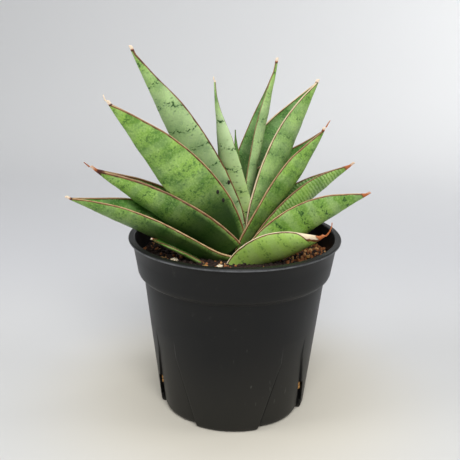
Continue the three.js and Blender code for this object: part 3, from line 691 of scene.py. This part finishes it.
def directions(leaf, t):
    """The leaf's own directions at share t of its length: along, across and towards its channel."""
    clasp = leaf["clasp"] * max(0, 1 - t / CLASP_LENGTH) ** 2
    rise = math.radians(leaf["rise"] - leaf["bend"] * t + clasp)
    bearing = math.radians(leaf["bearing"] + leaf["sway"] * t)
    along = Vector((math.cos(rise) * math.sin(bearing), -math.cos(rise) * math.cos(bearing), math.sin(rise)))
    level = Vector((math.cos(bearing), math.sin(bearing), 0))
    up = level.cross(along)
    if up.z < 0:
        up.negate()
    turn = math.radians(leaf["roll"] + leaf["twist"] * t)
    side = level * math.cos(turn) + up * math.sin(turn)
    face = up * math.cos(turn) - level * math.sin(turn)
    return along, side, face


def keel_line(leaf):
    """Stations from the foot to the tip: share of the length, place, directions, and a scale for the rounded end."""
    at = Vector((leaf["x"], leaf["y"], RIM_Z - leaf["drop"]))
    line, before = [], None
    for i in range(STATIONS + 1):
        t = i / STATIONS
        along, side, face = directions(leaf, t)
        if before is not None:
            at = at + (before + along) * (leaf["length"] / STATIONS / 2)
        before = along
        line.append((t, at.copy(), along, side, face, 1.0))
    t, end, along, side, face, _ = line.pop()
    for i in range(DOME):
        a = math.pi / 2 * i / DOME
        line.append((1.0, end + along * (leaf["tip"] * math.sin(a)), along, side, face, max(0.03, math.cos(a))))
    return line


def section(leaf, t, scale):
    """Points round a section from the middle of the channel: across, up from the keel, whether it faces in,
    millimetres from the crest of the margin, and along the skin from the middle of the leaf."""
    share = width_share(t, leaf["base"]) * (1 - leaf["beak"] * smoothstep(t, 0.7, 0.93))
    half = max(leaf["gape"] * share, leaf["tip"]) * scale
    depth = max(leaf["depth"] * share, leaf["tip"] * 1.5) * scale
    solid = smoothstep(t, 0.76, 0.94)
    keel = mix(min(mix(KEEL_BASE, KEEL_TIP, t), depth * 0.6), depth * 0.8, solid)
    rim = min(leaf["edge"], half * 0.35)
    middle = half - rim / 2

    def arc(angle, width, floor, power):
        across = math.copysign(abs(math.sin(angle)) ** (2 / power), angle) * width
        return across, floor + (depth - floor) * (1 - max(0.0, math.cos(angle)) ** (2 / power))

    points = []
    for i in range(INNER_STEPS):
        x, y = arc(math.pi / 2 * i / INNER_STEPS, half - rim, keel, INNER_POWER)
        points.append((x, y, 1))
    for i in range(RIM_STEPS):
        a = math.pi * i / RIM_STEPS
        points.append((middle - math.cos(a) * rim * 0.56, depth + math.sin(a) * rim * 0.5, 1 - i / RIM_STEPS))
    for i in range(OUTER_STEPS + 1):
        x, y = arc(math.pi / 2 - math.pi * i / OUTER_STEPS, half, 0, OUTER_POWER)
        points.append((x, y, 0))
    right = points[: INNER_STEPS + RIM_STEPS]
    points += [(-x, y, inside) for x, y, inside in reversed(right[1:])]
    points.append(points[0])
    # Distance along the outline from the nearer margin's crest.
    run = [0.0]
    for a, b in zip(points, points[1:]):
        run.append(run[-1] + math.hypot(b[0] - a[0], b[1] - a[1]))
    crest_right = run[INNER_STEPS + RIM_STEPS // 2]
    crest_left = run[-1] - crest_right
    found = []
    for (x, y, inside), s in zip(points, run):
        from_channel = s if s < run[-1] / 2 else s - run[-1]
        skin = mix(run[-1] / 2 - s, from_channel, inside)
        found.append((x, y, inside, min(abs(s - crest_right), abs(s - crest_left)), skin))
    return found


def thread_line(leaf, end, along):
    """The dead thread past the tip: it leaves along the leaf and curls by thread_up and thread_side."""
    line, at, heading = [], end.copy(), along.copy()
    step = leaf["thread"] / THREAD_RINGS
    sideways = along.cross(Vector((0, 0, 1))).normalized()
    upwards = sideways.cross(along).normalized()
    for i in range(1, THREAD_RINGS + 1):
        turn = i / THREAD_RINGS
        heading = (
            along
            + upwards * math.tan(math.radians(leaf["thread_up"]) * turn)
            + sideways * math.tan(math.radians(leaf["thread_side"]) * turn)
        ).normalized()
        at = at + heading * step
        line.append((at.copy(), heading, THREAD_RADIUS * (1 - 0.55 * turn) * (1 + 0.25 * math.sin(i * 2.1))))
    return line


SCAB_HALF = (0.7, 1.1, 0.4)
scar_places = []  # a point on the skin and its normal


def note_scars(bm, leaf, along, across, inside):
    bm.normal_update()
    outside = [v for v in bm.verts if v[inside] == 0]
    for run, round_skin in leaf["scars"]:
        vert = min(outside, key=lambda v: math.hypot(v[along] - run, v[across] - round_skin))
        scar_places.append((vert.co.copy(), vert.normal.copy()))


def skin_point(leaf, station, spot, seed):
    """Where a spot of a section lies, with the leaf's gentle swell and wavy margins, and what its skin is like:
    along, across, edge, dry, inside, and how dark it lies among the others."""
    t, at, _, side, face, _ = station
    x, y, inside, edge, skin = spot
    length, run = leaf["length"], t * leaf["length"]
    body = smoothstep(t, 0, 0.1) * (1 - smoothstep(t, 0.85, 0.97))
    swell = 0.22 * ripple(run, x, seed * 7 + inside * 20, 9) + 0.1 * ripple(run, x, seed * 3, 3)
    wave = 0.35 * ripple(run, seed * 5, math.copysign(4, x), 14) * smoothstep(abs(x), 0, leaf["gape"] * 0.9)
    x_out = x + wave * body * math.copysign(1, x)
    place = at + side * x_out + face * (y + swell * (1 - 2 * inside) * body)
    dry = smoothstep(run, length - leaf["dry"] * 1.4, length + leaf["dry"] * 0.1) if leaf["dry"] else 0
    bare = smoothstep(run, length - leaf["peel"] - 3, length - leaf["peel"]) if leaf["peel"] else 0
    # Painted shade: darker green low on the outside, where the leaves crowd each other, and low in the channel.
    low = 1 - smoothstep(run, leaf["shade"] * 0.4, leaf["shade"])
    channel_shade = 1 - smoothstep(t, 0.3, 0.75)
    painted_shade = mix(leaf["painted_shade"] * low, leaf["channel_shade"] * channel_shade, inside) * smoothstep(edge, 0.8, 3.5)
    return place, (run, skin, edge * leaf["line"] * (1 - 0.75 * bare), dry, inside), painted_shade


def make_leaf(leaf, seed):
    line = keel_line(leaf)
    thread = thread_line(leaf, line[-1][1], line[-1][2]) if leaf["thread"] else []
    sections = [section(leaf, t, scale) for t, _, _, _, _, scale in line]
    rows = len(line) + len(thread)
    bm = bmesh.new()
    layers = {key: bm.verts.layers.float.new(key) for key in LEAF_ATTRIBUTES}
    bmesh.ops.create_grid(bm, x_segments=rows - 1, y_segments=AROUND, size=0.5)
    for vert in bm.verts:
        i = round((vert.co.x + 0.5) * (rows - 1))
        j = round((vert.co.y + 0.5) * AROUND)
        if i < len(line):
            vert.co, skin, painted_shade = skin_point(leaf, line[i], sections[i][j], seed)
        else:
            at, heading, radius = thread[i - len(line)]
            side = line[-1][3]
            face = heading.cross(side).normalized()
            a = math.tau * j / AROUND
            vert.co = at + side * (radius * math.sin(a)) + face * (radius * math.cos(a))
            skin, painted_shade = (leaf["length"] + i - len(line), 0, 3, THREAD_DRYNESS, 0), 0
        run = skin[0]
        waxy = leaf["bloom"] * (1 - 0.8 * smoothstep(run / leaf["length"], 0.72, 0.95))
        ribs = leaf["ribs"] * smoothstep(run, 10, 25)
        # The pale young base, and on leaf_centre also painted light on a leaf that the others shade.
        fresh_and_lit = leaf["fresh_and_lit"] * (1 - smoothstep(run, leaf["fresh_and_lit_length"] * 0.3, leaf["fresh_and_lit_length"]))
        looks = (waxy, leaf["bands"], ribs, leaf["papery"], fresh_and_lit, painted_shade, leaf["cream"], leaf["rust"])
        for key, value in zip(LEAF_ATTRIBUTES, (*skin, *looks, seed * 17.0 + 0.5), strict=True):
            vert[layers[key]] = value
    bmesh.ops.remove_doubles(bm, verts=bm.verts, dist=1e-3)
    bmesh.ops.holes_fill(bm, edges=[e for e in bm.edges if e.is_boundary], sides=0)
    bmesh.ops.recalc_face_normals(bm, faces=bm.faces)
    note_scars(bm, leaf, layers["along"], layers["across"], layers["inside"])
    return bm


def make_scars():
    """Small healed punctures: flat dark scabs, one on each place noted."""
    bm = bmesh.new()
    for place, normal in scar_places:
        stand = Matrix.LocRotScale(place, normal.to_track_quat("Z", "Y"), Vector(SCAB_HALF))
        bmesh.ops.create_icosphere(bm, subdivisions=3, radius=1, matrix=stand)
    for vert in bm.verts:
        vert.co += vert.co.normalized() * 0.12 * ripple(*vert.co, 0.4)
    return bm


# ---------------------------------------------------------------- soil, crown and loose bits

SOIL_DROP, SOIL_MOUND = 11, 1.8
CROWN_RADIUS, CROWN_DROP, CROWN_HEIGHT = 13, 8.6, 19
SOIL_RADIUS = COLLAR_BOTTOM_RADIUS - WALL + 0.3
GRAIN_BATCHES, GRAINS_PER_BATCH = 40, 90
GRAIN_SMALLEST, GRAIN_LARGEST = 0.45, 1.25  # half sizes
# Partly painted light: the pale clay on the right also stands for light on that side, the dark peat on the left for
# the leaves' shade.
CLAY_AND_LIGHT_FROM_X = 24  # mostly clay granules to the right of it, mostly peat to the left


def soil_height(x, y):
    r = math.hypot(x, y)
    mound = SOIL_MOUND * (1 - smoothstep(r, CROWN_RADIUS, COLLAR_BOTTOM_RADIUS))
    return RIM_Z - SOIL_DROP + mound + 0.7 * ripple(x, y, 3, 7) + 0.3 * ripple(x, y, 9, 2)


def make_soil():
    """The root ball: a turned body whose top is crumbly."""
    bm = bmesh.new()
    tone = bm.verts.layers.float.new("tone")
    bottom = FLOOR + RECESS_LIFT + 0.5
    profile = [(0, bottom), (body_radius(bottom) - RECESS_DEPTH - WALL - 0.4, bottom)]
    for z in range(8, 69, 4):
        profile.append((body_radius(z) - RECESS_DEPTH * max(0, 1 - z / RECESS_FADE_Z) - WALL - 0.4, z))
    profile += [(SOIL_RADIUS - 0.8, RIM_Z - SOIL_DROP - 3)]
    profile += [(SOIL_RADIUS * (1 - i / 50), RIM_Z - SOIL_DROP) for i in range(51)]
    turn_round(bm, draw_line(bm, [(0, -r, z) for r, z in profile]), 180)
    for vert in bm.verts:
        if vert.co.z > RIM_Z - SOIL_DROP - 1:
            vert.co.z = soil_height(vert.co.x, vert.co.y)
        vert[tone] = 0.25 + 0.3 * ripple(*vert.co, 6)
    close_skin(bm)
    return bm


def add_lump(bm, centre, half, turn, roughness, rng, subdivisions=1):
    """A rough stone-like lump of those half sizes."""
    made = bmesh.ops.create_icosphere(bm, subdivisions=subdivisions, radius=1)["verts"]
    for vert in made:
        vert.co *= 1 + rng.uniform(-roughness, roughness)
    bmesh.ops.scale(bm, vec=half, verts=made)
    c, s = math.cos(turn), math.sin(turn)
    for vert in made:
        x, y, z = vert.co
        vert.co = Vector((x * c - y * s, x * s + y * c, z)) + centre
    return made


def make_grains():
    """Loose grit on the soil: thousands of small lumps, clay granules among peat crumbs."""
    rng = random.Random(11)
    whole = bmesh.new()
    for _ in range(GRAIN_BATCHES):  # a small bmesh grows much faster than a large one
        batch = bmesh.new()
        tone = batch.verts.layers.float.new("tone")
        for _ in range(GRAINS_PER_BATCH):
            r = math.sqrt(rng.random()) * (SOIL_RADIUS - 0.5)
            a = rng.uniform(0, math.tau)
            x, y = r * math.cos(a), r * math.sin(a)
            size = mix(GRAIN_SMALLEST, GRAIN_LARGEST, rng.random() ** 2.5)
            half = [size * rng.uniform(0.7, 1.2) for _ in range(3)]
            place = Vector((x, y, soil_height(x, y) + half[2] * rng.uniform(-0.1, 0.6)))
            # More pale clay grains on the lit right and dark peat in the shaded left: partly painted light and shade.
            clay = (0.9 if x > CLAY_AND_LIGHT_FROM_X else 0.16) + 0.3 * ripple(x, y, 31, 16)
            shade = rng.uniform(0.5, 1.0) if rng.random() < clay else rng.uniform(0, 0.4)
            for vert in add_lump(batch, place, half, rng.uniform(0, math.tau), 0.2, rng):
                vert[tone] = shade
        batch_mesh = bpy.data.meshes.new("grit_batch")
        batch.to_mesh(batch_mesh)
        batch.free()
        whole.from_mesh(batch_mesh)
        bpy.data.meshes.remove(batch_mesh)
    return whole


def make_bit(node, rng, roughness):
    """A chip that fills its node's box."""
    low, high = (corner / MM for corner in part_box(node))
    bm = bmesh.new()
    made = bmesh.ops.create_icosphere(bm, subdivisions=3, radius=1)["verts"]
    shift = rng.uniform(0, 50)
    for vert in made:
        x, y, z = vert.co
        vert.co *= 1 + roughness * ripple(x + shift, y, z, 0.7) + roughness * 0.5 * ripple(x + shift, y, z, 0.3)
    low_made = Vector([min(v.co[i] for v in made) for i in range(3)])
    high_made = Vector([max(v.co[i] for v in made) for i in range(3)])
    for vert in made:
        for i in range(3):
            share = (vert.co[i] - low_made[i]) / (high_made[i] - low_made[i])
            vert.co[i] = mix(low[i], high[i], share)
    return bm


def make_slot_granules():
    """Clay granules that show in the top of each slot."""
    rng = random.Random(3)
    bm = bmesh.new()
    for side_foot, side in SLOT_SIDES:
        for z in (SLOT_TOP_Z - 1.6, SLOT_TOP_Z - 3.8):
            azimuth = FRONT_AZ + side_foot + side * (90 - RECESS_FROM_FRONT - recess_half(z) - 0.3)
            place = polar(body_radius(z) - WALL - 0.6, azimuth, z)
            add_lump(bm, place, (1.1, 0.9, 1.4), math.radians(azimuth), 0.12, rng, 2)
    return bm


def make_crown():
    """The short stem: a turned body, ringed where old leaves were."""
    bm = bmesh.new()
    top, bottom = RIM_Z - CROWN_DROP, RIM_Z - CROWN_DROP - CROWN_HEIGHT
    profile = [(0, bottom), (CROWN_RADIUS * 0.7, bottom)]
    for i in range(25):
        z = mix(bottom + 3, top - 3, i / 24)
        profile.append((CROWN_RADIUS - 0.4 - 0.3 * math.cos(i * math.pi / 2), z))
    profile += [(CROWN_RADIUS * 0.8, top - 1.2), (CROWN_RADIUS * 0.4, top - 0.3), (0, top)]
    turn_round(bm, draw_line(bm, [(0, -r, z) for r, z in profile]), 72)
    close_skin(bm)
    return bm


# ---------------------------------------------------------------- build

cuticle = leaf_material()
finish_piece("nursery_pot", make_pot(), pot_material(), ["pot"], sharp=40)
for number, (name, leaf) in enumerate(LEAVES.items()):
    finish_piece(name + "_blade", make_leaf({**LEAF_DEFAULTS, **leaf}, number + 1), cuticle, [name])
finish_piece("leaf_scabs", make_scars(), scab_material())
grit = soil_material()
finish_piece("soil_bed", make_soil(), grit, ["soil"])
finish_piece("soil_grit", make_grains(), grit)
finish_piece("crown_stem", make_crown(), crown_material(), ["crown"])
chips = random.Random(5)
perlite, bark = perlite_material(), bark_material()
finish_piece("slot_granules", make_slot_granules(), bark)
for where in ("left", "front", "right", "back"):
    crumb, chip = f"perlite_{where}", f"bark_{where}"
    finish_piece(f"perlite_crumb_{where}", make_bit(crumb, chips, 0.5), perlite, [crumb])
    finish_piece(f"bark_chip_{where}", make_bit(chip, chips, 0.6), bark, [chip])

# ---------------------------------------------------------------- stage, light and camera


def make_backdrop():
    """A sheet of paper that runs along the floor and curves up behind."""
    bm = bmesh.new()
    floor_front, bend_start, bend_radius, wall_top, half_width = -900, 500, 500, 2200, 2500
    profile = [(floor_front, 0), (bend_start, 0)]
    for i in range(1, 25):
        a = math.pi / 2 * i / 24
        profile.append((bend_start + bend_radius * math.sin(a), bend_radius * (1 - math.cos(a))))
    profile.append((bend_start + bend_radius, wall_top))
    edges = draw_line(bm, [(-half_width, y, z) for y, z in profile])[len(profile) :]
    pulled = bmesh.ops.extrude_edge_only(bm, edges=edges)["geom"]
    far_side = [g for g in pulled if isinstance(g, bmesh.types.BMVert)]
    bmesh.ops.translate(bm, vec=(2 * half_width, 0, 0), verts=far_side)
    make_object("backdrop", bm, backdrop_material())


def add_softbox(name, place, aim, size, watts):
    light = bpy.data.lights.new(name, "AREA")
    light.shape = "RECTANGLE"
    light.size, light.size_y = size[0] * MM, size[1] * MM
    light.energy = watts
    lamp = bpy.data.objects.new(name, light)
    lamp.location = Vector(place) * MM
    lamp.rotation_euler = (Vector(aim) - Vector(place)).to_track_quat("-Z", "Y").to_euler()
    bpy.context.scene.collection.objects.link(lamp)


make_backdrop()
add_softbox("softbox_overhead", (0, -120, 950), (0, 40, 60), (600, 500), 3)
add_softbox("softbox_front", (60, -600, 640), (0, 0, 100), (450, 350), 5)
add_softbox("softbox_left", (-800, -230, 520), (0, 0, 60), (400, 500), 2.9)
add_softbox("softbox_right", (820, -60, 620), (0, 0, 60), (400, 400), 2.2)
add_softbox("softbox_backdrop", (650, 500, 600), (440, 900, 210), (260, 260), 1.9)
world = bpy.data.worlds.new("studio")
bpy.context.scene.world = world
world.use_nodes = True
connect(world.node_tree.nodes["Background"], {"Color": colour("eeeff2"), "Strength": 0.11})

CAMERA_TARGET = Vector((-2.44, 0, 91.3))
CAMERA_DISTANCE = 348
CAMERA_ELEVATION = math.radians(16.91)
CAMERA_ROLL = math.radians(0.86)
SENSOR, LENS = 36, 54.78
forward = Vector((0, math.cos(CAMERA_ELEVATION), -math.sin(CAMERA_ELEVATION)))
upward = Vector((0, math.sin(CAMERA_ELEVATION), math.cos(CAMERA_ELEVATION)))
right = Vector((1, 0, 0))
camera_data = bpy.data.cameras.new("camera")
camera_data.sensor_width, camera_data.lens = SENSOR, LENS
camera_data.clip_start, camera_data.clip_end = 0.01, 20
camera = bpy.data.objects.new("camera", camera_data)
bpy.context.scene.collection.objects.link(camera)
axis_x = right * math.cos(CAMERA_ROLL) + upward * math.sin(CAMERA_ROLL)
axis_y = upward * math.cos(CAMERA_ROLL) - right * math.sin(CAMERA_ROLL)
place = (CAMERA_TARGET - forward * CAMERA_DISTANCE) * MM
camera.matrix_world = Matrix([(axis_x[i], axis_y[i], -forward[i], place[i]) for i in range(3)] + [(0, 0, 0, 1)])
bpy.context.scene.camera = camera
bpy.context.scene.view_settings.view_transform = "Standard"
